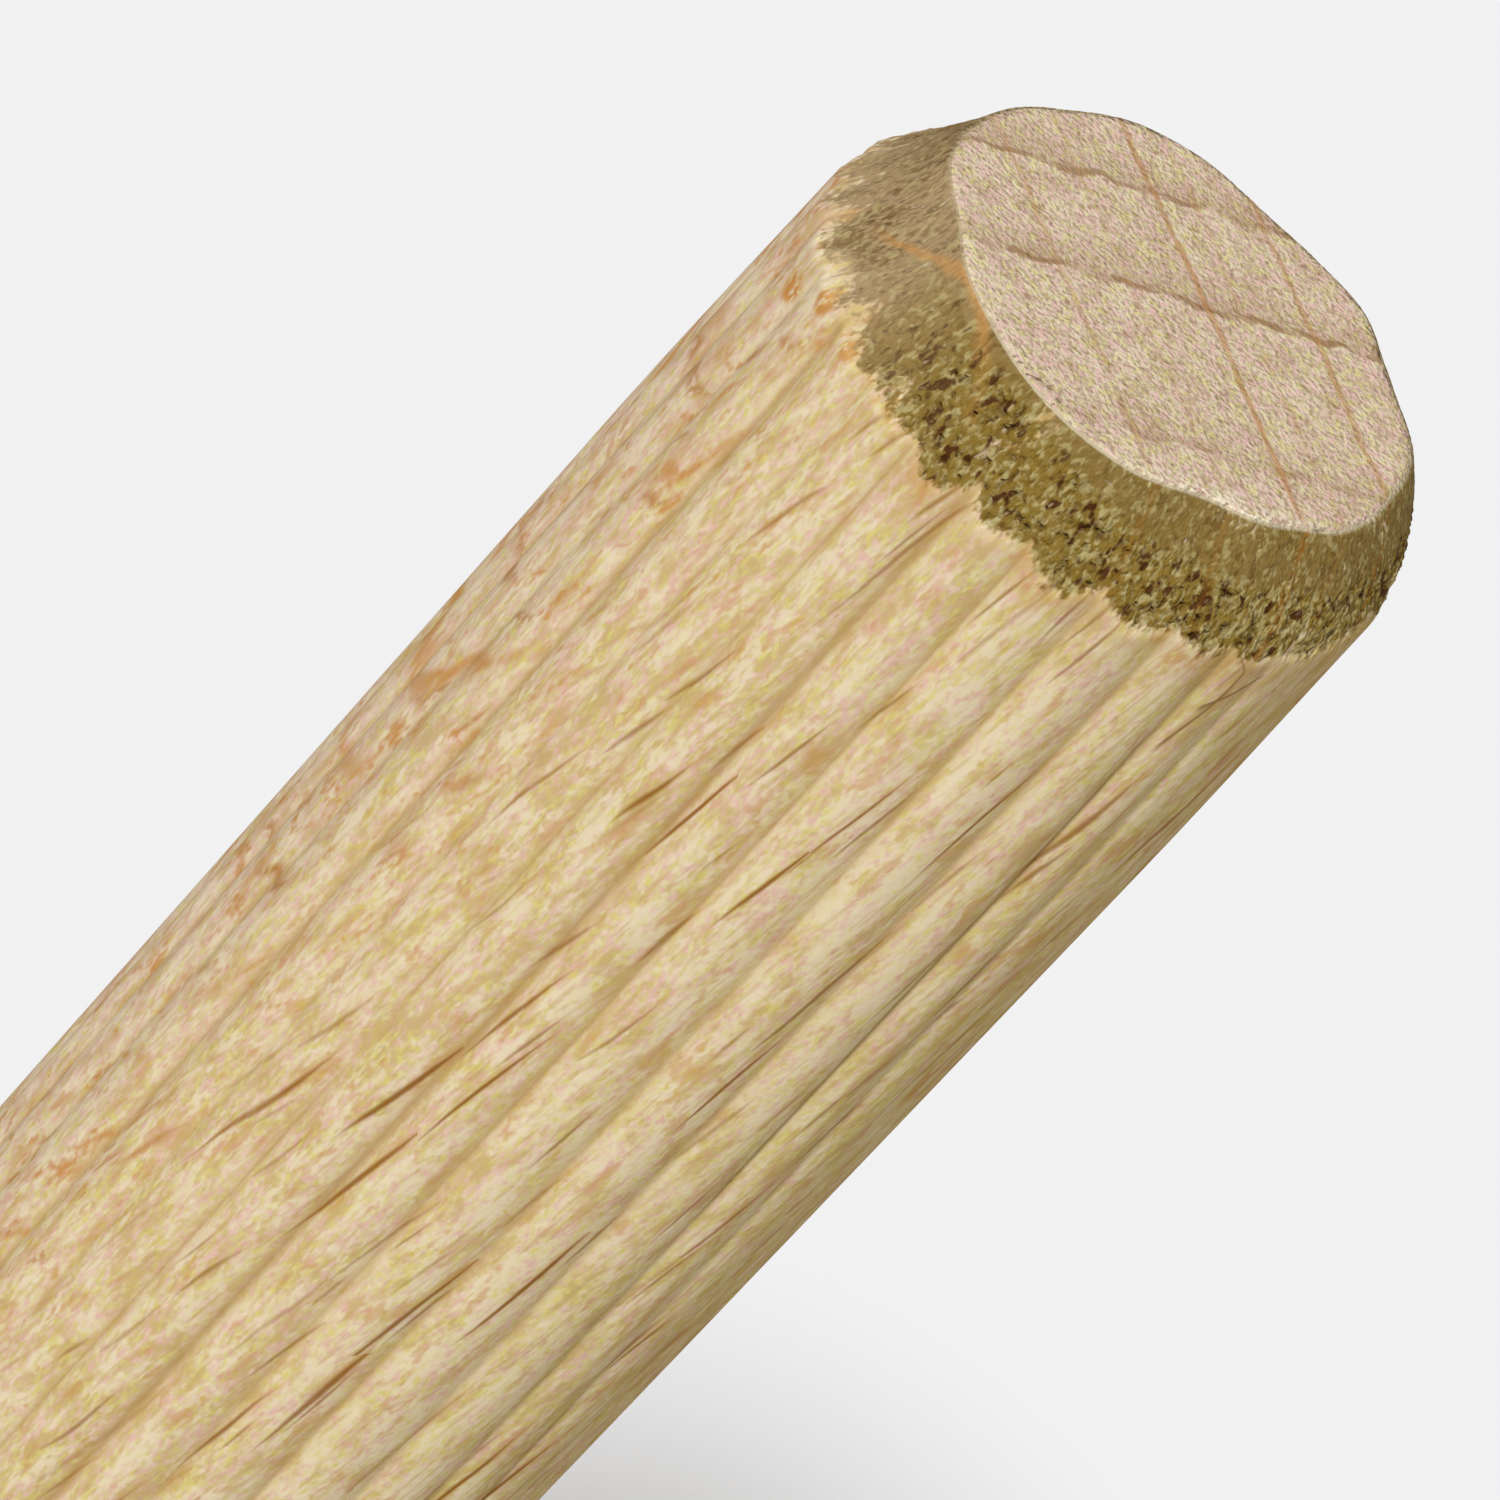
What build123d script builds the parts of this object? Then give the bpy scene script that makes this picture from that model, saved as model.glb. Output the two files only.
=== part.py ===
from build123d import *
import os

# A fluted wooden dowel pin in one piece, standing on its lower end with its axis up.
# The origin is the centre of the lower end face. Sizes are in millimetres.

# Body
pin_diameter = 8.0          # across the crests of two opposite ridges
pin_length = 40.0           # from end face to end face

# Flutes, straight grooves that run the whole length and leave convex ridges between them
flute_count = 28
flute_depth = 0.15          # from the crest circle down to the bottom of a groove
flute_width = 0.34          # across a groove at the crest circle, before its shoulders are rounded
shoulder_radius = 0.25      # rounding where a ridge's crest turns down into a groove

# Ends, each narrowed by a slightly domed cone to a flat face
end_inset = 0.85            # how far the flat's edge lies inside the crest circle
end_length = 1.4            # how far the cone reaches along the pin
end_bulge = 0.05            # how far the cone swells past a straight line
rim_radius = 0.08           # rounding round the flat

crest_radius = pin_diameter / 2
end_face_radius = crest_radius - end_inset
half_pitch_angle = 180 / flute_count
half_length = pin_length / 2


with BuildPart() as dowel_pin:
    # The grooved rod that the pin is cut from. Its cross-section is the crest circle with
    # a V cut in it for each flute, turned by half a pitch so that crests lie on the X and Y axes.
    # Each V is drawn about the crest circle and runs as far outside it as inside.
    # The rod is drawn twice as long as the pin, so that it runs well past both ends.
    mid_length = Plane.XY.offset(half_length).rotated((0, 0, half_pitch_angle))
    with BuildSketch(mid_length) as cross_section:
        Circle(crest_radius)
        with PolarLocations(crest_radius, flute_count):
            Polygon(
                (-flute_depth, 0),
                (flute_depth, flute_width),
                (flute_depth, -flute_width),
                align=None,
                mode=Mode.SUBTRACT,
            )
        shoulders = cross_section.vertices().group_by(SortBy.DISTANCE)[-1]
        fillet(shoulders, radius=shoulder_radius)
    extrude(amount=pin_length, both=True)

    # The rod is cut to length and its ends are turned down: all outside this outline goes.
    # The cone's arc runs on past the crests by half its own length, so that it crosses them
    # cleanly, and the grooves run out where they meet it, which gives the cone a scalloped edge.
    with BuildSketch(Plane.XZ) as outline:
        with BuildLine():
            flat = Line((0, 0), (end_face_radius, 0))
            brow = (crest_radius, end_length)
            cone = SagittaArc(flat @ 1, brow, -end_bulge, mode=Mode.PRIVATE)
            run_out = ThreePointArc(cone @ 0, cone @ 1, cone @ 1.5)
            Line(run_out @ 1, ((run_out @ 1).X, half_length))
            mirror(about=Plane.XZ.offset(-half_length))
            Line((0, 0), (0, pin_length))
        make_face()
        rims = outline.vertices().group_by(Axis.X)[1]
        fillet(rims, radius=rim_radius)
    revolve(axis=Axis.Z, mode=Mode.INTERSECT)

dowel_pin.part.label = "dowel_pin"

os.makedirs("parts", exist_ok=True)
export_step(dowel_pin.part, "parts/dowel_pin.step")
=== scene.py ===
import math
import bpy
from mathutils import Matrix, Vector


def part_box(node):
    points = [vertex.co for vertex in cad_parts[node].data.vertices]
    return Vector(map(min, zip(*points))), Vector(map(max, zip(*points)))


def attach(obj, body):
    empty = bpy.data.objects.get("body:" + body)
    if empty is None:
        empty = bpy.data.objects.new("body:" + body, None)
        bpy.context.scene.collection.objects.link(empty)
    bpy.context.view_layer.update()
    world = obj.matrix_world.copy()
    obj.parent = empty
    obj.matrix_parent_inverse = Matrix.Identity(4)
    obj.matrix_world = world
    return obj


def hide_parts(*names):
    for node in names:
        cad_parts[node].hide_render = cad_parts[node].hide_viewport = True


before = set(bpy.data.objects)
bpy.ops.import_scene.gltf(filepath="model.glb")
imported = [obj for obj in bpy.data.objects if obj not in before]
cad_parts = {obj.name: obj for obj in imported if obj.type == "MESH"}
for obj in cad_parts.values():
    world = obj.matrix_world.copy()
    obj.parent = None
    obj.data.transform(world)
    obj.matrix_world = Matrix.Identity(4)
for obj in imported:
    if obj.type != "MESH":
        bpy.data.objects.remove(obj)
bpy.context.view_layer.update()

from types import SimpleNamespace

import bpy
from mathutils import Matrix, Vector

# A fluted beech dowel pin that stands on its end. Blender lengths are metres, and the
# patterns are worked out in millimetres. An angle round the pin is 0 where it faces the
# camera (-Y) and grows towards -X.
MM = 0.001
PIN = "dowel_pin"
low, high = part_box(PIN)
PIN_RADIUS = (high.x - low.x) / 2 / MM
PIN_LENGTH = (high.z - low.z) / MM

# Shape, as in the part, in millimetres
FLUTES = 28
FLUTE_DEPTH = 0.15
END_INSET = 0.85
END_LENGTH = 1.4
END_BULGE = 0.05

# How the wood lies in the pin
RAY_FACING = math.radians(40)       # angle that the flat of a ray sheet faces at the head
SIDE_RAY_FACING = math.radians(68)  # and along the sides
RING_FACING = math.radians(-44)     # angle that the growth rings face
GRAIN_SLOPE = math.radians(7.8)     # how far the grain leans out of the pin's axis


def facing(angle):
    """The level direction that faces this angle round the pin."""
    return Vector((-math.sin(angle), -math.cos(angle), 0))


UP = Vector((0, 0, 1))
SHEET = facing(RAY_FACING) * math.cos(GRAIN_SLOPE) + UP * math.sin(GRAIN_SLOPE)
SIDE_SHEET = facing(SIDE_RAY_FACING) * math.cos(GRAIN_SLOPE) + UP * math.sin(GRAIN_SLOPE)
GRAIN = UP * math.cos(GRAIN_SLOPE) - facing(RAY_FACING) * math.sin(GRAIN_SLOPE)
SPOKE = GRAIN.cross(SHEET)
RING = facing(RING_FACING)


# Formulas in node trees


class Value:
    """A number that changes over the surface: one output of a node."""

    def __init__(self, formulas, socket):
        self.formulas = formulas
        self.socket = socket

    def __add__(self, other):
        return self.formulas.math("ADD", self, other)

    def __radd__(self, other):
        return self.formulas.math("ADD", other, self)

    def __sub__(self, other):
        return self.formulas.math("SUBTRACT", self, other)

    def __rsub__(self, other):
        return self.formulas.math("SUBTRACT", other, self)

    def __mul__(self, other):
        return self.formulas.math("MULTIPLY", self, other)

    def __rmul__(self, other):
        return self.formulas.math("MULTIPLY", other, self)

    def __truediv__(self, other):
        return self.formulas.math("DIVIDE", self, other)

    def __rtruediv__(self, other):
        return self.formulas.math("DIVIDE", other, self)


class Formulas:
    """Writes formulas into one node tree, of a shape or of a material."""

    def __init__(self, tree):
        self.tree = tree

    def node(self, kind, feeds=(), **settings):
        """A new node with its settings, and with values or links fed to its named inputs."""
        node = self.tree.nodes.new(kind)
        for name, value in settings.items():
            setattr(node, name, value)
        for name, value in dict(feeds).items():
            self.feed(node.inputs[name], value)
        return node

    def feed(self, socket, value):
        """Link a Value to an input, or set the input to a plain number, colour or vector."""
        if isinstance(value, Value):
            self.tree.links.new(value.socket, socket)
        else:
            socket.default_value = value

    def math(self, operation, *terms):
        node = self.node("ShaderNodeMath", operation=operation)
        for socket, term in zip(node.inputs, terms):
            self.feed(socket, term)
        return Value(self, node.outputs[0])

    def least(self, a, b):
        return self.math("MINIMUM", a, b)

    def most(self, a, b):
        return self.math("MAXIMUM", a, b)

    def size(self, a):
        return self.math("ABSOLUTE", a)

    def step(self, value, start, end):
        """0 before start, 1 after end, and smooth between them."""
        feeds = {"Value": value, "From Min": start, "From Max": end}
        node = self.node("ShaderNodeMapRange", feeds, interpolation_type="SMOOTHSTEP")
        return Value(self, node.outputs[0])

    def between(self, a, b, share):
        """a where share is 0 and b where it is 1."""
        return a + (b - a) * share

    def point(self, x, y, z):
        node = self.node("ShaderNodeCombineXYZ", {"X": x, "Y": y, "Z": z})
        return Value(self, node.outputs[0])

    def parts(self, vector):
        node = self.node("ShaderNodeSeparateXYZ", {"Vector": vector})
        return [Value(self, socket) for socket in node.outputs]

    def along(self, vector, direction):
        """How far a vector reaches in a direction."""
        node = self.node("ShaderNodeVectorMath", operation="DOT_PRODUCT")
        self.feed(node.inputs[0], vector)
        self.feed(node.inputs[1], direction)
        return Value(self, node.outputs["Value"])

    def scaled(self, vector, factor):
        node = self.node("ShaderNodeVectorMath", operation="SCALE")
        self.feed(node.inputs[0], vector)
        self.feed(node.inputs["Scale"], factor)
        return Value(self, node.outputs["Vector"])

    def noise(self, point, scale=1.0, detail=2.0, rough=0.5):
        feeds = {"Vector": point, "Scale": scale, "Detail": detail, "Roughness": rough}
        node = self.node("ShaderNodeTexNoise", feeds, noise_dimensions="3D", normalize=True)
        return Value(self, node.outputs[0])

    def three_noises(self, point, detail=1.0):
        """Three unlike noises at once, taken from one coloured noise."""
        feeds = {"Vector": point, "Scale": 1.0, "Detail": detail}
        node = self.node("ShaderNodeTexNoise", feeds, noise_dimensions="3D", normalize=True)
        return self.parts(Value(self, node.outputs["Color"]))

    def cells(self, x, y, scatter=0.85):
        """Random cells one unit wide: how far off their centres a point lies, and three random numbers."""
        feeds = {"Vector": self.point(x, y, 0.0), "Scale": 1.0, "Randomness": scatter}
        node = self.node("ShaderNodeTexVoronoi", feeds, voronoi_dimensions="2D", feature="F1")
        centre_x, centre_y, _ = self.parts(Value(self, node.outputs["Position"]))
        chances = self.parts(Value(self, node.outputs["Color"]))
        return x - centre_x, y - centre_y, chances

    def attribute(self, name):
        """A mark that the shape stored on the mesh."""
        node = self.node("ShaderNodeAttribute", attribute_name=name)
        return Value(self, node.outputs["Fac"])

    def colour(self, first, second, share):
        """The colour that goes from the first to the second as share goes from 0 to 1."""
        node = self.node("ShaderNodeMix", data_type="RGBA")
        self.feed(node.inputs[0], share)
        for socket, value in ((node.inputs[6], first), (node.inputs[7], second)):
            self.feed(socket, value if isinstance(value, Value) else (*value, 1.0))
        return Value(self, node.outputs[2])


def wood_lines(f, point):
    """How far from the head's centre a point lies across the sheets, along the rays and with the grain."""
    head = f.node("ShaderNodeVectorMath", operation="SUBTRACT")
    f.feed(head.inputs[0], point)
    f.feed(head.inputs[1], (0, 0, PIN_LENGTH))
    from_head = Value(f, head.outputs[0])
    return [f.along(from_head, direction) for direction in (SHEET, SPOKE, GRAIN)]


# Shape. Lengths are in millimetres.

# What the shape stores on the mesh for the material to read, each from 0 to 1
MARKS = (
    "groove",       # how deep in a groove
    "cone",         # on an end cone
    "cap",          # on an end face
    "rim",          # on the edge between them
    "brow",         # where a cone meets the body
    "torn",         # in torn end grain
    "pit",          # in a pit of a cone
    "tuft",         # how low a cone's tufts of fibres lie
    "worst",        # on the head's torn side
    "lip",          # at the head's edge, where it is chipped pale
    "worn",         # and where it is pitted
)

# How finely the mesh is divided
POINTS_PER_FLUTE = 18
AROUND = FLUTES * POINTS_PER_FLUTE
CAP_RINGS = 14                  # rings of faces on each end
FOOT_ROWS, SHANK_ROWS, HEAD_ROWS = 20, 48, 62
ROWS = FOOT_ROWS + SHANK_ROWS + HEAD_ROWS
FOOT_ZONE = END_LENGTH + 0.5    # how far the closely spaced rows reach from each end
HEAD_ZONE = END_LENGTH + 0.7

# What cutting and wear did to the plain form
GROOVE_POWER = 1.9              # 1 leaves plain V grooves, and more rounds the ridges
FLUTE_DRIFT = 0.16              # how far a flute wanders, as a share of their spacing
HEAD_TAPER = 0.06               # how much the wall falls in next to the head
FOOT_TAPER = 0.04
LEFT_TAPER = 0.025              # and all along its left side
PIT_DEPTH = 0.08
SMOOTH_TUFT, TORN_TUFT = 0.02, 0.12     # heights of the tufts on the two sides of the head
RIM_ROUNDING = 0.03
CHIP_DEPTH = 0.07

# Where the head's flat reaches further out or less far than its mean circle: the angle round
# the pin and the half width, in degrees, and how much further out it goes
EDGE_SHAPE = (
    (4, 34, 0.16),
    (-34, 22, -0.20),
    (-56, 16, -0.10),
    (56, 20, -0.14),
    (124, 26, -0.14),
    (100, 20, -0.06),
    (-112, 20, 0.11),
    (-130, 16, -0.03),
    (-152, 14, 0.12),
    (180, 20, -0.12),
)

# Where the grooves are shallower or deeper: the angle round the pin and the half width, in
# degrees, and the change as a share of the depth
GROOVE_CHANGES = (
    (-70, 25, -0.85),
    (-44, 14, -0.20),
    (54, 8, -0.20),
    (28, 8, -0.30),
    (4, 14, 0.30),
)


def tree_inputs(tree, **sizes):
    """Named number inputs on a shape tree, with their values."""
    for name, value in sizes.items():
        kind = "NodeSocketInt" if isinstance(value, int) else "NodeSocketFloat"
        socket = tree.interface.new_socket(name, in_out="INPUT", socket_type=kind)
        socket.default_value = value


def lobe(f, angle, centre, half_width):
    """1 at an angle round the pin, in degrees, falling to 0 within half a width."""
    off = f.math("WRAP", angle - math.radians(centre), math.pi, -math.pi)
    return f.step(f.size(off), math.radians(half_width), 0.0)


def with_lobes(f, angle, value, lobes):
    """A value plus changes at angles round the pin."""
    for centre, half_width, change in lobes:
        value = value + lobe(f, angle, centre, half_width) * change
    return value


def cone(f, part, flat_radius, full_radius, bulge):
    """Radius of an end cone: part is 0 at the flat and 1 where the cone meets the crests."""
    straight = f.between(flat_radius, full_radius, part)
    near = f.least(part, 1.5)
    return straight + near * (1.0 - near) * bulge * 4.0


def row_height(f, row, length):
    """Height of a row of points. Rows lie close together at both ends."""
    shank_step = (length - (FOOT_ZONE + HEAD_ZONE)) / SHANK_ROWS
    in_foot = f.least(row, FOOT_ROWS) * (FOOT_ZONE / FOOT_ROWS)
    in_shank = f.most(f.least(row - FOOT_ROWS, SHANK_ROWS), 0.0) * shank_step
    in_head = f.most(row - (FOOT_ROWS + SHANK_ROWS), 0.0) * (HEAD_ZONE / HEAD_ROWS)
    return in_foot + in_shank + in_head


def grooves(f, angle, height, drift, flutes):
    """V valleys between round ridges: how deep in one a point lies, and how deep each one is cut."""
    spread = lobe(f, angle, -42, 32) * math.radians(3) + math.radians(1.5)
    turns = (angle + spread) * (flutes / math.tau) + drift * FLUTE_DRIFT
    across = f.size(f.math("FRACT", turns + 0.5) - 0.5) * 2.0
    groove = f.math("POWER", across, GROOVE_POWER)
    ridge_number = f.math("FLOOR", turns + 0.5)
    ridge_change = f.noise(f.point(ridge_number * 3.7, height * 0.05, 0.0), 1.0, 1.0) - 0.5
    part_depth = with_lobes(f, angle, ridge_change * 0.9 + 0.88, GROOVE_CHANGES)
    return groove, part_depth


def torn_grain(f, spot, angle, depth, at_head):
    """End grain torn on one side of the head, away from its flat: that side, where, pits and tufts."""
    sheets, spokes, grain = wood_lines(f, spot)
    fibres = f.point(sheets, spokes, grain * 0.5)
    worst = f.step(angle, math.radians(58), math.radians(8)) * at_head
    clean_band = f.between(0.06, 0.42, f.step(angle, math.radians(5), math.radians(-30)))
    torn = worst * f.step(depth, clean_band, clean_band + 0.25)
    pit = f.step(f.noise(fibres, 9.0, 3.0, 0.7), 0.54, 0.68) * f.between(0.1, 1.0, torn)
    tuft = f.noise(fibres, 13.0, 2.0)
    return worst, torn, pit, tuft


def fluted_body():
    """The shape tree of the pin: a closed tube of rows and rings, whose points move to the pin's form."""
    tree = bpy.data.node_groups.new("fluted pin", "GeometryNodeTree")
    tree_inputs(
        tree,
        radius=PIN_RADIUS,
        length=PIN_LENGTH,
        flutes=FLUTES,
        flute_depth=FLUTE_DEPTH,
        end_inset=END_INSET,
        end_length=END_LENGTH,
        end_bulge=END_BULGE,
    )
    tree.interface.new_socket("Geometry", in_out="OUTPUT", socket_type="NodeSocketGeometry")
    f = Formulas(tree)
    sizes = f.node("NodeGroupInput")
    # The last output is Blender's own empty one
    radius, length, flutes, flute_depth, end_inset, end_length, end_bulge = [
        Value(f, socket) for socket in list(sizes.outputs)[:-1]
    ]
    tube = f.node("GeometryNodeMeshCylinder", {
        "Vertices": AROUND, "Side Segments": ROWS, "Fill Segments": CAP_RINGS,
        "Radius": 1.0, "Depth": 1.0,
    })
    place = f.node("GeometryNodeInputPosition")
    x, y, z = f.parts(Value(f, place.outputs[0]))
    share = f.math("SQRT", x * x + y * y)           # 0 on the axis and 1 on the wall
    angle = f.math("ARCTAN2", x * -1.0, y * -1.0)   # 0 faces -Y and grows towards -X
    row = (z + 0.5) * ROWS
    height = row_height(f, row, length)
    depth = length - height                         # how far below the head
    at_head = f.step(z, 0.0, 0.1)
    left = lobe(f, angle, 108, 62)

    # Slow changes round and along the pin
    level_x, level_y = f.math("SINE", angle) * -1.0, f.math("COSINE", angle) * -1.0
    slow = f.point(level_x * 2.2, level_y * 2.2, height * 0.06)
    drift = f.noise(slow, 1.0, 2.0) - 0.5

    # The wall: grooves that fade a little towards the head, and a slight taper at both ends
    groove, part_depth = grooves(f, angle, height, drift, flutes)
    head_taper = f.step(depth, 5.8, 0.6) * (HEAD_TAPER + left * 0.03)
    taper = head_taper + f.step(height, 3.0, 0.6) * FOOT_TAPER + left * LEFT_TAPER
    fading = 1.0 - f.step(depth, 3.0, 1.0) * 0.3
    wall = radius - taper - groove * flute_depth * fading * part_depth

    # Cones: the head's is tilted, and its flat isn't quite round
    lean = f.math("COSINE", angle - math.radians(90))
    jag = f.noise(f.point(level_x * 18, level_y * 18, height * 1.5), 1.0, 3.0, 0.65) - 0.5
    left_front = lobe(f, angle, 45, 38)
    head_length = end_length * (1.10 + lean * 0.055 - left_front * 0.10 + jag * 0.30)
    head_bulge = end_bulge * 0.1 - lean * 0.115 + left * 0.055 + lobe(f, angle, -95, 45) * 0.02
    foot_length = end_length * (1.0 + jag * 0.08)
    flat_radius = radius - end_inset
    head_flat = with_lobes(f, angle, flat_radius, EDGE_SHAPE)
    head_cone = cone(f, depth / head_length, head_flat, radius, head_bulge)
    foot_cone = cone(f, height / foot_length, flat_radius, radius, end_bulge)
    ends = f.least(head_cone, foot_cone)
    side = f.math("SMOOTH_MIN", wall, ends, 0.08)

    # Pits and tufts on the cones
    beyond = wall - ends                            # how far the cone has cut into the wall
    spot = f.point(level_x * side, level_y * side, height)
    worst, torn, pit, tuft = torn_grain(f, spot, angle, depth, at_head)
    cut = f.step(beyond, -0.01, 0.05)
    tuft_height = f.between(SMOOTH_TUFT, TORN_TUFT, torn)
    side = side - cut * (pit * PIT_DEPTH + (tuft - 0.5) * tuft_height)

    # On its clean side the cone's outer part is as pale as the body
    pale_side = f.step(angle, math.radians(12), math.radians(60)) * at_head
    sharp_look = f.step(beyond, -0.04, 0.10)
    soft_look = f.step(beyond, 0.02, 0.45)
    cone_look = f.between(sharp_look, sharp_look * 0.35 + soft_look * 0.65, pale_side)
    brow = f.step(f.size(beyond - pale_side * 0.15), 0.20, 0.02)

    # The head's edge is chipped pale on one side and pitted beside that
    lip = f.step(share, 0.70, 0.96) * lobe(f, angle, -38, 42) * at_head
    worn = f.step(share, 0.72, 0.90) * lobe(f, angle, 10, 18) * at_head

    # End faces: rings lie closer near the rim, which is slightly rounded
    on_cap = f.step(share, 0.9999, 0.999)
    ring = 1.0 - f.math("POWER", 1.0 - share, 1.6)
    is_rim = f.step(share, 0.999, 0.9999) * f.step(f.least(row, ROWS - row), 0.5, 0.1)
    chip = f.noise(f.point(level_x * 11, level_y * 11, 8.0), 1.0, 3.0, 0.6)
    rim_round = is_rim * (RIM_ROUNDING + f.step(chip, 0.54, 0.70) * CHIP_DEPTH)
    flat = f.between(flat_radius, head_flat, at_head)
    out = f.between(side, flat * ring, on_cap) - rim_round
    sag = f.between(rim_round, rim_round * -1.0, at_head)
    shaped = f.point(level_x * out * MM, level_y * out * MM, (height + sag) * MM)

    cut_groove = groove * f.least(part_depth, 1.0)
    marks = (cut_groove, cone_look, on_cap, is_rim, brow, torn, pit, tuft, worst, lip, worn)
    finished_mesh(f, Value(f, tube.outputs["Mesh"]), shaped, marks)
    return tree


def finished_mesh(f, mesh, shaped, marks):
    """Store the marks on the tube's points, move them to their places and give the mesh its material."""
    for name, value in zip(MARKS, marks, strict=True):
        store = f.node("GeometryNodeStoreNamedAttribute", data_type="FLOAT", domain="POINT")
        f.feed(store.inputs["Geometry"], mesh)
        f.feed(store.inputs["Name"], name)
        f.feed(store.inputs["Value"], value)
        mesh = Value(f, store.outputs[0])
    moved = f.node("GeometryNodeSetPosition", {"Geometry": mesh, "Position": shaped})
    smooth = f.node("GeometryNodeSetShadeSmooth", {"Geometry": Value(f, moved.outputs[0])})
    real = f.node("GeometryNodeRealizeInstances", {"Geometry": Value(f, smooth.outputs[0])})
    finish = f.node("GeometryNodeSetMaterial", {"Geometry": Value(f, real.outputs[0])})
    finish.inputs["Material"].default_value = beech()
    group_output = f.node("NodeGroupOutput")
    f.tree.links.new(finish.outputs[0], group_output.inputs[0])


def mesh_from(tree, name):
    """A plain mesh object from a shape tree."""
    empty = bpy.data.meshes.new(name + "_start")
    made = bpy.data.objects.new(name, empty)
    bpy.context.scene.collection.objects.link(made)
    modifier = made.modifiers.new("shape", "NODES")
    modifier.node_group = tree
    for item in tree.interface.items_tree:
        if item.in_out == "INPUT":
            modifier[item.identifier] = item.default_value
    ready = made.evaluated_get(bpy.context.evaluated_depsgraph_get())
    made.data = bpy.data.meshes.new_from_object(ready)
    made.modifiers.remove(modifier)
    return made


# Beech. Lengths are in millimetres.

# The body, its grooves with painted shade, and tints by the way it faces: painted cool light on
# its left, a painted highlight on its front crests and painted shade colour on its shaded side
CREAM = (0.68, 0.575, 0.34)
PALE = (0.79, 0.72, 0.53)
TAN = (0.55, 0.41, 0.17)
PINK = (0.73, 0.48, 0.43)
YELLOW = (0.67, 0.61, 0.20)
# Painted shade in the grooves' bottoms, together with darker pressed wood
VALLEY_SHADE_AND_DARK_WOOD = (0.36, 0.20, 0.06)
# Painted cool light on the left side
PAINTED_COOL_LIGHT = (0.68, 0.57, 0.53)
# Painted highlight on the front crests
PAINTED_CREST_HIGHLIGHT = (0.79, 0.71, 0.46)
# Painted shade colour on the shaded side
PAINTED_SHADE_OLIVE = (0.66, 0.59, 0.21)

# Rays and pores
RAY_DARK = (0.27, 0.11, 0.008)
RAY_LIGHT = (0.54, 0.26, 0.07)
RAY_SPOT = (0.43, 0.20, 0.055)
HEAD_RAY = (0.45, 0.23, 0.08)
PORE = (0.26, 0.15, 0.06)

# End faces
END_PALE = (0.70, 0.605, 0.43)
END_CHIP = (0.88, 0.82, 0.62)
END_PINK = (0.49, 0.365, 0.24)
RING_BROWN = (0.32, 0.19, 0.09)

# Cones, torn or smoothly cut
TORN_MID = (0.215, 0.14, 0.022)
TORN_DARK = (0.060, 0.015, 0.001)
TORN_PALE = (0.44, 0.38, 0.17)
SMOOTH_CUT = (0.37, 0.265, 0.14)
SMOOTH_DEEP = (0.21, 0.135, 0.055)
SMOOTH_SHADE = (0.20, 0.13, 0.024)

# Tints of the body by the way that it faces: painted cool light on the left, a painted highlight on the
# front crests, a darker band along the front and painted shade colour on the shaded side. For each:
# the colour, the angle round the pin in degrees, the cosines of the angle off it where the tint starts
# and is full, and how strong it is
FACING_TINTS_AND_PAINTED_LIGHT = (
    (PAINTED_COOL_LIGHT, 90, 0.55, 1.0, 0.75),
    (PAINTED_CREST_HIGHLIGHT, -32, 0.90, 0.99, 0.55),
    (TAN, 10, 0.986, 0.998, 0.25),
    (PAINTED_SHADE_OLIVE, -85, 0.62, 1.0, 0.55),
)

# Rays cut across, scattered over cells: the size of a cell, and half the size of a ray
BIG_RAYS = {"wide": 0.56, "tall": 3.0, "half_width": 0.027, "half_height": 1.12}
SMALL_RAYS = {"wide": 0.62, "tall": 1.7, "half_width": 0.020, "half_height": 0.54}
RAY_SPOTS = {"wide": 0.16, "tall": 0.95, "half_width": 0.017, "half_height": 0.26}

# Lines across the head: how far from its centre, and how plain to see
HEAD_RAYS = ((-2.1, 0.8), (-1.12, 0.35), (-0.52, 1.0), (0.56, 0.3), (1.55, 0.5))
HEAD_RINGS = ((-1.90, 0.9), (-0.22, 1.0), (2.15, 0.5))
EDGE_RAY = 3.10                 # a ray that only crosses the cone
EDGE_RAY_END, EDGE_RAY_FULL = 0.95, 0.65    # how far below the head it ends and is plainest

# Ray ends that stain the wood beside the head's cone: angle, and how far below the head
BROW_STAINS = ((68, 1.0), (59, 1.9), (49, 1.4), (38, 1.3), (24, 1.2))
STAIN_HALF_WIDTH = 0.20
STAIN_HALF_HEIGHT = 0.24

HEAD_WAVE = 0.16                # how far the ray sheets sway, at the head and on the sides
SIDE_WAVE = 0.22
PORE_CELL = 0.12                # width of the cells that hold one pore each
ROUGHNESS = 0.72
GLOSS = 0.14
RELIEF_HEIGHT = 0.02


def ray_lenses(f, sheets, grain, wide, tall, half_width, half_height):
    """Thin lenses scattered over cells, and the fainter stains about them."""
    # Every lens has a height, a width and a strength of its own
    off_x, off_y, (one, two, three) = f.cells(sheets / wide, grain / tall)
    half = half_height * (0.45 + one * 0.8)
    part = off_y * tall / half
    thick = half_width * (0.50 + one * 0.55 + two * 0.35)
    inside = thick * (1.0 - part * part) - f.size(off_x) * wide
    plain = f.step(three, 0.05, 0.70)
    lens = f.step(inside, -0.020, 0.022) * plain
    stain = f.step(inside, -0.09, 0.03) * f.step(part, -0.4, 1.0) * plain
    return lens, stain


def split(f, turned, down, edge, core, middle, end, full):
    """A fine split at a point that is turned off the split's line and lies down below the head.

    Away from its line the split fades from core to edge, and away from its middle from full to end.
    """
    line = f.step(f.size(turned) * PIN_RADIUS, edge, core)
    return line * f.step(f.size(down - middle), end, full)


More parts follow.
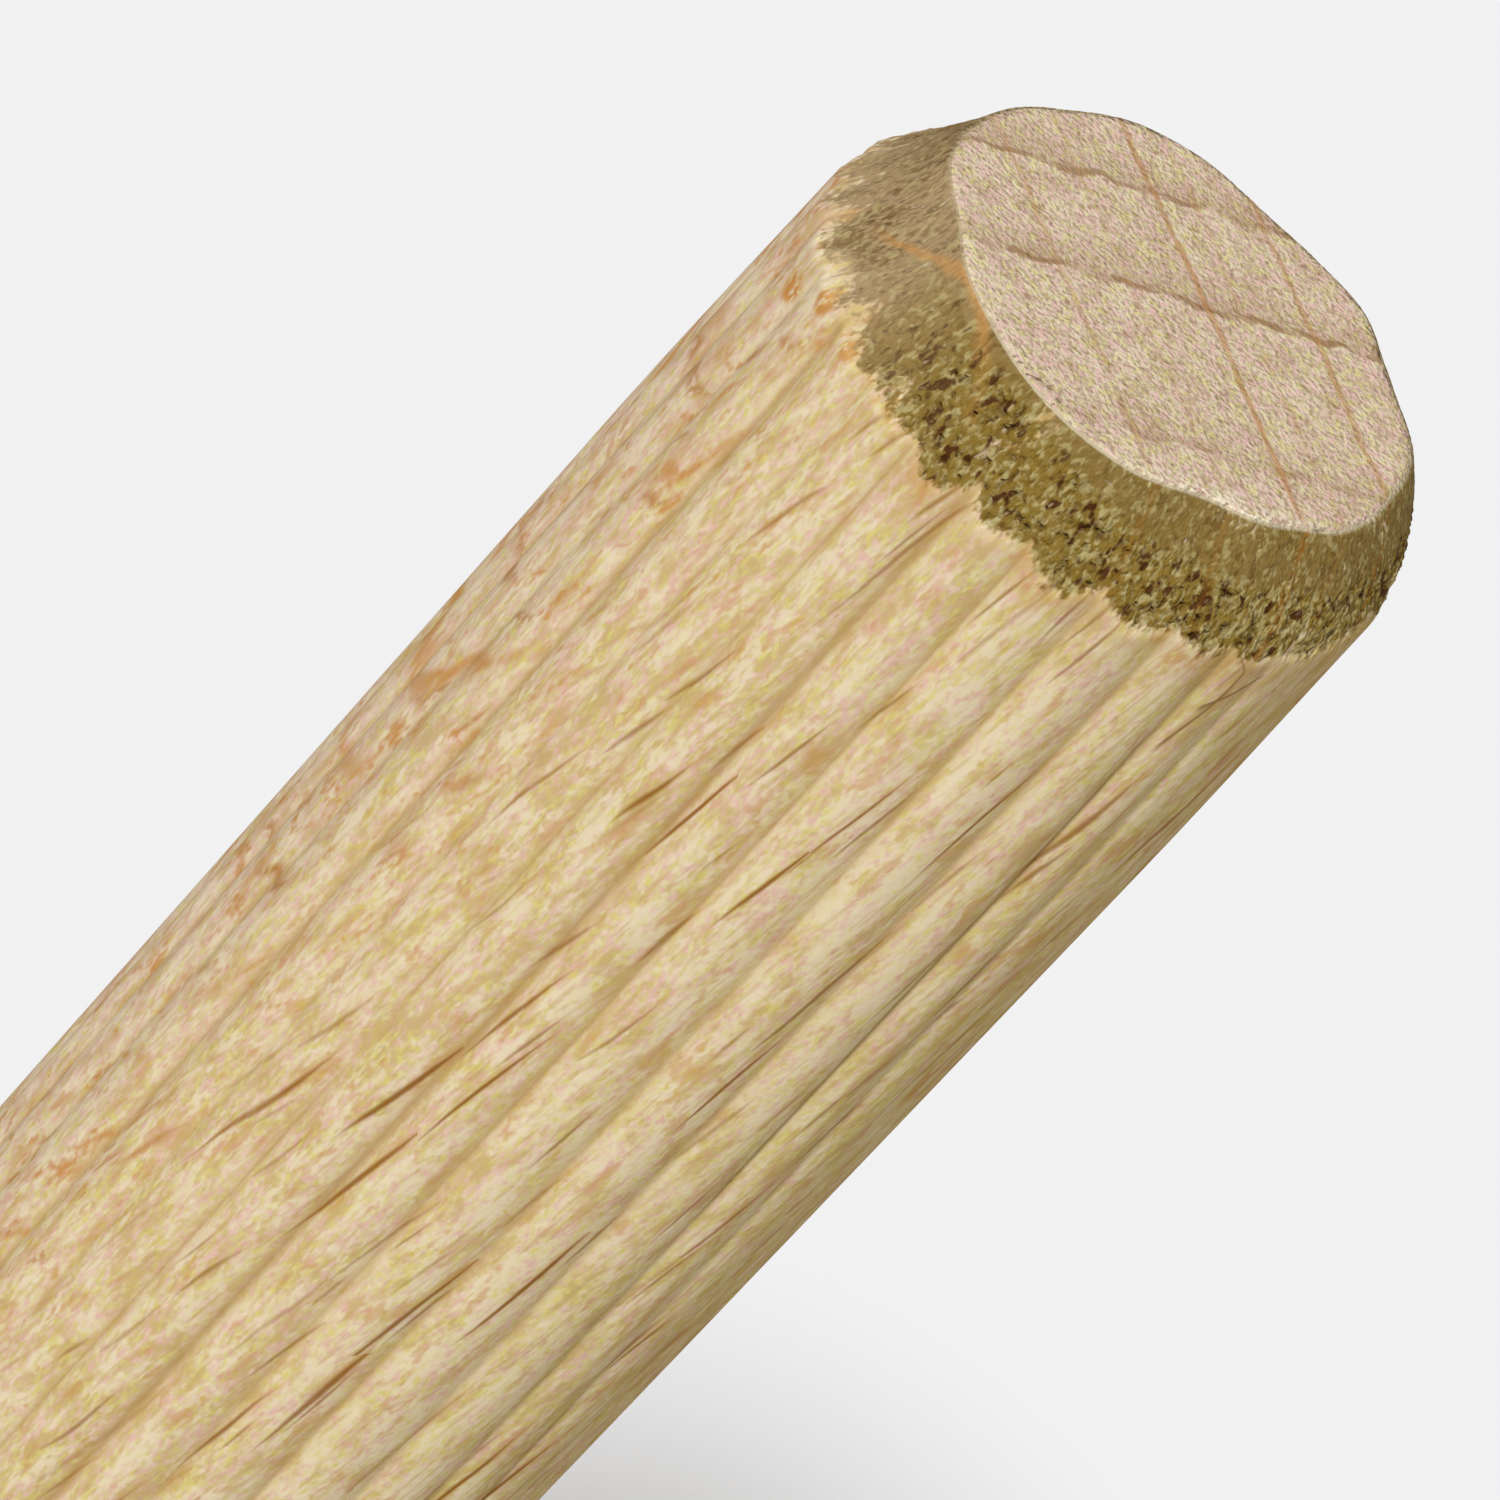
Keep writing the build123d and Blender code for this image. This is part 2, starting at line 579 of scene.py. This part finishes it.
def splits(f, angle, down):
    """Two fine splits that start at the head's cone on its shaded side and bend on their way down."""
    bend = f.step(down, 1.15, 1.50) * math.radians(-3.6) + f.step(down, 1.7, 3.0) * math.radians(3.0)
    turned = angle - bend + math.radians(51)
    long_split = split(f, turned, down, edge=0.035, core=0.008, middle=2.0, end=1.0, full=0.7)
    bend = f.step(down, 1.50, 2.15) * math.radians(7.5)
    turned = angle - bend + math.radians(60.2)
    short_split = split(f, turned, down, edge=0.055, core=0.015, middle=1.85, end=0.38, full=0.22)
    return f.most(long_split, short_split)


def brow_stains(f, angle, down):
    """The stains beside the head's cone, as 1 in their middles and 0 away from them."""
    stains = 0.0
    for middle, below in BROW_STAINS:
        aside = (angle - math.radians(middle)) * (PIN_RADIUS / STAIN_HALF_WIDTH)
        along = (down - below) / STAIN_HALF_HEIGHT
        stains = f.most(f.step(aside * aside + along * along, 1.2, 0.2), stains)
    return stains


def wood_patterns(f):
    """What the colours have in common: the marks, how the wood lies at a point, and its noises."""
    w = SimpleNamespace(**{name: f.attribute(name) for name in MARKS})
    place = f.node("ShaderNodeTexCoord")
    w.point = f.scaled(Value(f, place.outputs["Object"]), 1 / MM)
    w.across, w.spokes, w.grain = wood_lines(f, w.point)

    def stretched(across_grain, with_grain):
        """The point in a pattern with about so many waves in a millimetre across and with the grain."""
        return f.point(w.across * across_grain, w.spokes * across_grain, w.grain * with_grain)

    # From a slow mottling down to fine grain
    w.mottle, w.patch, w.wave = f.three_noises(stretched(1.9, 0.4))
    w.soft, w.streak, w.smudge = f.three_noises(stretched(4.5, 1.3), 2.0)
    w.head_soft, w.head_tint, w.head_dot = f.three_noises(stretched(6.5, 3.0), 2.0)
    w.speck, w.tint, w.glint = f.three_noises(stretched(15, 7))
    w.fibre = f.noise(stretched(15, 1.6), 1.0, 2.0, 0.6)
    w.sheets = w.across + (w.wave - 0.5) * HEAD_WAVE

    # The level direction that the wall faces, and where a point lies round and down it
    w.x, w.y, w.z = f.parts(w.point)
    w.from_axis = f.math("SQRT", w.x * w.x + w.y * w.y)
    w.level = f.scaled(f.point(w.x, w.y, 0.0), 1.0 / w.from_axis)
    w.angle = f.math("ARCTAN2", w.x * -1.0, w.y * -1.0)
    w.down = PIN_LENGTH - w.z
    w.pore = pores(f, w)
    w.head_ray = head_rays(f, w)
    return w


def pores(f, w):
    """Vessels: fine pores on the ends, short lines along the sides."""
    off_x, off_y, (size, _, _) = f.cells(w.sheets / PORE_CELL, w.spokes / PORE_CELL)
    gap = f.math("SQRT", off_x * off_x + off_y * off_y) * PORE_CELL
    return f.step(gap, 0.012 + size * 0.026, 0.004 + size * 0.018)


def head_rays(f, w):
    """The rays that cross the head as lines."""
    lines = 0.0
    for ray, plain in HEAD_RAYS:
        off = f.size(w.sheets - ray)
        lines = f.most(f.step(off, 0.07, 0.025) * plain, lines)
    near_head = f.step(w.grain, -2.2, -1.3)
    return lines * near_head * f.step(w.speck * 0.5 + w.patch * 0.5, 0.34, 0.48)


def body_colour(f, w):
    """Cream wood with tints and streaks, painted light and shade by the way the wall faces, and painted
    shade with darker wood in the grooves.
    """
    body = f.colour(TAN, CREAM, f.step(w.fibre * 0.45 + w.mottle * 0.35 + w.soft * 0.3, 0.36, 0.60))
    # Painted cool light on the left, a painted highlight on the front crests, a darker band along the
    # front and painted shade colour on the shaded side
    for tint, angle, start, full, strength in FACING_TINTS_AND_PAINTED_LIGHT:
        towards = f.along(w.level, facing(math.radians(angle)))
        body = f.colour(body, tint, f.step(towards, start, full) * strength)
    tone = w.tint * 0.62 + w.soft * 0.38
    body = f.colour(body, PINK, f.step(tone, 0.48, 0.62) * 0.9)
    body = f.colour(body, YELLOW, f.step(tone, 0.50, 0.36) * 0.9)
    body = f.colour(body, PALE, f.step(w.glint * 0.45 + w.streak * 0.55, 0.43, 0.63) * 0.75)
    body = f.colour(body, TAN, f.step(w.speck * 0.35 + w.streak * 0.65, 0.51, 0.34) * 0.75)
    body = f.colour(body, RAY_LIGHT, f.step(w.smudge * 0.75 + w.speck * 0.25, 0.55, 0.66) * 0.5)
    # Darker towards the grooves' bottoms: painted shade, together with darker pressed wood
    body = f.colour(body, TAN, f.step(w.groove, 0.30, 0.95) * 0.5)
    body = f.colour(body, VALLEY_SHADE_AND_DARK_WOOD, f.step(w.groove, 0.66, 1.0) * 0.6)
    body = f.colour(body, TAN, w.pore * 0.4)
    body = side_rays(f, w, body)
    body = f.colour(body, PORE, splits(f, w.angle, w.down) * 0.85)
    body = f.colour(body, TAN, w.brow * 0.35)
    return f.colour(body, RAY_LIGHT, w.brow * f.step(w.patch * 0.6 + w.speck * 0.4, 0.51, 0.60) * 0.4)


def side_rays(f, w, body):
    """The body with its rays: dark slivers where cut across, wide and paler where they lie flat."""
    # The rays are laid out on the wall without its grooves, so that they run on evenly over them
    even = PIN_RADIUS / w.from_axis
    shell = f.point(w.x * even, w.y * even, w.z - PIN_LENGTH)
    sheets = f.along(shell, SIDE_SHEET) + (w.wave - 0.5) * SIDE_WAVE
    lies_flat = f.step(f.size(f.along(w.level, SIDE_SHEET)), 0.62, 0.97)

    # Each layer of cells is shifted, so that its rays lie apart from the others
    big, big_stain = ray_lenses(f, sheets, w.grain, **BIG_RAYS)
    small, small_stain = ray_lenses(f, sheets + 7.3, w.grain + 3.1, **SMALL_RAYS)
    spot, spot_stain = ray_lenses(f, sheets + 2.9, w.grain + 5.7, **RAY_SPOTS)
    broken = f.step(w.patch * 0.5 + w.smudge * 0.5, 0.40, 0.54)
    stain = f.most(big_stain, small_stain * 0.6) * f.between(1.0, broken, lies_flat)
    lens = f.most(big, small * 0.75) * f.between(1.0, broken * 0.8, lies_flat)
    spot = f.most(spot * f.step(w.speck * 0.6 + w.smudge * 0.4, 0.38, 0.50), spot_stain * 0.25)
    ribbon = f.noise(f.point(sheets * 10, w.spokes, w.grain), 1.0, 2.0, 0.6)
    ribbon = f.step(ribbon * 0.7 + w.speck * 0.3, 0.52, 0.70) * lies_flat
    ray_ends = brow_stains(f, w.angle, w.down) * f.step(w.speck * 0.5 + w.smudge * 0.5, 0.40, 0.52)

    body = f.colour(body, RAY_LIGHT, f.most(stain * 0.5, ribbon * 0.9))
    body = f.colour(body, RAY_LIGHT, ray_ends)
    body = f.colour(body, f.colour(RAY_DARK, RAY_LIGHT, lies_flat), lens * 0.95)
    return f.colour(body, RAY_SPOT, spot * lies_flat * 0.85)


def face_colour(f, w):
    """End faces: pale, with growth rings and rays as lines."""
    clouds = w.glint * 0.3 + w.mottle * 0.35 + w.head_soft * 0.35
    tone = w.tint * 0.5 + w.head_tint * 0.5
    face = f.colour(END_PINK, END_PALE, f.step(clouds, 0.38, 0.58))
    face = f.colour(face, PINK, f.step(tone, 0.49, 0.60) * 0.8)
    face = f.colour(face, YELLOW, f.step(tone, 0.49, 0.39) * 0.55)
    face = f.colour(face, END_PINK, f.step(w.speck, 0.47, 0.35) * 0.7)
    face = f.colour(face, RING_BROWN, f.step(w.head_dot, 0.60, 0.70) * 0.5)
    face = f.colour(face, PORE, w.pore * 0.35)
    rings = f.along(w.point, RING) + (w.mottle - 0.5) * 0.34 + (w.speck - 0.5) * 0.06
    for ring, plain in HEAD_RINGS:
        off = rings - ring
        late = f.step(off, -0.7, 0.0) * f.step(off, 0.03, 0.0)
        edge = f.step(f.size(off + 0.05), 0.08, 0.02) * f.step(w.patch, 0.36, 0.58)
        face = f.colour(face, RING_BROWN, (late * 0.32 + edge * 0.6) * plain)
    face = f.colour(face, HEAD_RAY, w.head_ray * 0.7)
    chips = w.lip * f.step(w.speck * 0.5 + w.head_soft * 0.5, 0.42, 0.54)
    face = f.colour(face, END_CHIP, chips * 0.85)
    return f.colour(face, TORN_DARK, w.worn * f.step(w.speck, 0.44, 0.37) * 0.85)


def cone_colour(f, w):
    """Cones: dark torn end grain, smoother and paler on the other side."""
    clump = w.head_soft * 0.72 + w.speck * 0.28
    light = w.glint * 0.6 + w.head_tint * 0.4
    strokes = f.step(f.along(w.level, facing(math.radians(-62))), 0.92, 1.0)
    strokes = strokes * f.step(w.fibre * 0.5 + w.glint * 0.5, 0.45, 0.56)
    rough = f.colour(TORN_MID, TORN_PALE, f.step(w.tuft * 0.6 + w.speck * 0.4, 0.50, 0.36) * 0.5)
    rough = f.colour(rough, TORN_PALE, f.step(light, 0.49, 0.63) * 0.75)
    rough = f.colour(rough, TORN_PALE, strokes * 0.6)
    rough = f.colour(rough, TORN_DARK, f.step(clump, 0.47, 0.38) * 0.95)
    rough = f.colour(rough, TORN_DARK, w.pit * 0.8)
    sleek = f.colour(SMOOTH_DEEP, SMOOTH_CUT, f.step(w.speck * 0.6 + w.mottle * 0.4, 0.36, 0.58))
    sleek = f.colour(sleek, SMOOTH_SHADE, w.worst * 0.85)
    sleek = f.colour(sleek, TORN_PALE, f.step(light, 0.50, 0.62) * 0.5)
    sleek = f.colour(sleek, TORN_DARK, f.most(w.pit * 0.6, f.step(clump, 0.44, 0.37) * 0.35))
    ends = f.colour(sleek, rough, w.torn)
    ends = f.colour(ends, RAY_DARK, w.head_ray * 0.7)
    edge_ray = f.step(f.size(w.across + (w.wave - 0.5) * 0.06 - EDGE_RAY), 0.045, 0.010)
    edge_ray = edge_ray * f.step(w.z, PIN_LENGTH - EDGE_RAY_END, PIN_LENGTH - EDGE_RAY_FULL)
    return f.colour(ends, RAY_LIGHT, edge_ray * (1.0 - w.torn * 0.7) * 0.5)


def beech():
    """Bare beech: cream wood with ray flecks, pinkish end faces and dark torn cones."""
    material = bpy.data.materials.new("beech")
    material.use_nodes = True
    tree = material.node_tree
    tree.nodes.clear()
    f = Formulas(tree)
    w = wood_patterns(f)

    # The edge between body and cone is ragged
    ragged = f.step(w.cone + (w.speck + w.patch - 1.0) * 1.4, 0.25, 0.75)
    is_cone = ragged * f.step(w.cone, 0.0, 0.06)
    wood = f.colour(body_colour(f, w), cone_colour(f, w), is_cone)
    wood = f.colour(wood, face_colour(f, w), f.step(w.cap, 0.2, 0.8))
    # The rims are paler, more on the head's torn side: pale bruised fibres and a painted highlight along
    # the edge
    wood = f.colour(wood, PALE, w.rim * (0.2 + w.worst * 0.4))

    # Relief finer than the mesh, deeper on the end faces and the cones
    relief = (w.fibre + w.speck - 1.0) * 0.25 + (w.speck - 0.5) * w.cap * 0.7
    relief = relief + (w.speck - 0.5) * w.cone * f.between(1.6, 3.2, w.torn)
    feeds = {"Strength": 1.0, "Distance": RELIEF_HEIGHT * MM, "Height": relief}
    bump = f.node("ShaderNodeBump", feeds)
    surface = f.node("ShaderNodeBsdfPrincipled")
    f.feed(surface.inputs["Base Color"], wood)
    f.feed(surface.inputs["Roughness"], ROUGHNESS)
    f.feed(surface.inputs["Specular IOR Level"], GLOSS)
    f.feed(surface.inputs["Normal"], Value(f, bump.outputs[0]))
    out = f.node("ShaderNodeOutputMaterial")
    tree.links.new(surface.outputs[0], out.inputs[0])
    return material


# Camera, floor and light

PHOTO_SIDE = 1500                       # pixels
FOCAL_PIXELS = 11500
SENSOR_WIDTH = 36.0
HEAD_PIXEL = Vector((1177.95, 314.63))  # where the head's centre falls in the photograph
HEAD_DISTANCE_IN_RADII = 32.019         # from the camera to the head's centre
HEAD_DISTANCE = HEAD_DISTANCE_IN_RADII * PIN_RADIUS * MM
SIGHT_FROM_AXIS = math.radians(56.48)   # between the line of sight and the pin's axis
CAMERA_ROLL = math.radians(42.57)


def make_camera():
    """The camera that sees the upright pin as the photograph shows it."""
    sight = Vector((0, math.sin(SIGHT_FROM_AXIS), -math.cos(SIGHT_FROM_AXIS)))
    level = Vector((1, 0, 0))
    upright = level.cross(sight)
    right = level * math.cos(CAMERA_ROLL) + upright * math.sin(CAMERA_ROLL)
    above = right.cross(sight)
    off = (HEAD_PIXEL - Vector((PHOTO_SIDE / 2, PHOTO_SIDE / 2))) / FOCAL_PIXELS
    head = Vector((0, 0, PIN_LENGTH * MM))
    eye = head - (sight + right * off.x - above * off.y) * HEAD_DISTANCE
    data = bpy.data.cameras.new("camera")
    data.sensor_width = SENSOR_WIDTH
    data.lens = FOCAL_PIXELS / PHOTO_SIDE * SENSOR_WIDTH
    data.clip_start = 0.01
    camera = bpy.data.objects.new("camera", data)
    camera.matrix_world = Matrix.LocRotScale(
        eye, Matrix((right, above, -sight)).transposed().to_quaternion(), None
    )
    bpy.context.scene.collection.objects.link(camera)
    bpy.context.scene.camera = camera


FLOOR_REACH = 2.0                       # metres from its middle to each side
FLOOR_SEEN = (0.844, 0.856, 0.860)      # paint that comes out as the photograph's plain pale ground
FLOOR_GLOW = (0.60, 0.52, 0.38)         # what it throws back on the pin


def make_floor():
    """A plain floor that the pin stands on."""
    mesh = bpy.data.meshes.new("floor")
    corners = [(x * FLOOR_REACH, y * FLOOR_REACH, 0) for x, y in ((-1, -1), (1, -1), (1, 1), (-1, 1))]
    mesh.from_pydata(corners, [], [(0, 1, 2, 3)])
    floor = bpy.data.objects.new("floor", mesh)
    bpy.context.scene.collection.objects.link(floor)
    material = bpy.data.materials.new("floor_paint")
    material.use_nodes = True
    f = Formulas(material.node_tree)
    material.node_tree.nodes.clear()
    light_path = f.node("ShaderNodeLightPath")
    seen = f.colour(FLOOR_GLOW, FLOOR_SEEN, Value(f, light_path.outputs["Is Camera Ray"]))
    paint = f.node("ShaderNodeBsdfDiffuse", {"Color": seen})
    out = f.node("ShaderNodeOutputMaterial")
    material.node_tree.links.new(paint.outputs[0], out.inputs[0])
    mesh.materials.append(material)


ROOM_COLOUR = (1.0, 0.93, 0.80)
ROOM_STRENGTH = 0.27
KEY_LIGHT = {
    "angle": 18,
    "height": 52,
    "strength": 0.99,
    "width": 12,
    "colour": (1.0, 1.0, 1.05),
}


def make_sun(name, angle, height, strength, width, colour):
    """Sunlight from an angle round the pin and a height above the floor, of a width, all in degrees."""
    data = bpy.data.lights.new(name, "SUN")
    data.energy = strength * math.pi
    data.angle = math.radians(width)
    data.color = colour
    lamp = bpy.data.objects.new(name, data)
    up = math.radians(height)
    source = facing(math.radians(angle)) * math.cos(up) + UP * math.sin(up)
    lamp.rotation_euler = source.to_track_quat("Z", "Y").to_euler()
    bpy.context.scene.collection.objects.link(lamp)


def make_light():
    """A soft warm room and one wide key light."""
    world = bpy.data.worlds.new("room")
    world.use_nodes = True
    sky = world.node_tree.nodes["Background"]
    sky.inputs["Color"].default_value = (*ROOM_COLOUR, 1.0)
    sky.inputs["Strength"].default_value = ROOM_STRENGTH
    bpy.context.scene.world = world
    make_sun("key", **KEY_LIGHT)


make_camera()
make_floor()
make_light()
pin = mesh_from(fluted_body(), "beech_pin")
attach(pin, "root")
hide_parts(PIN)

bpy.context.scene.view_settings.view_transform = "Standard"
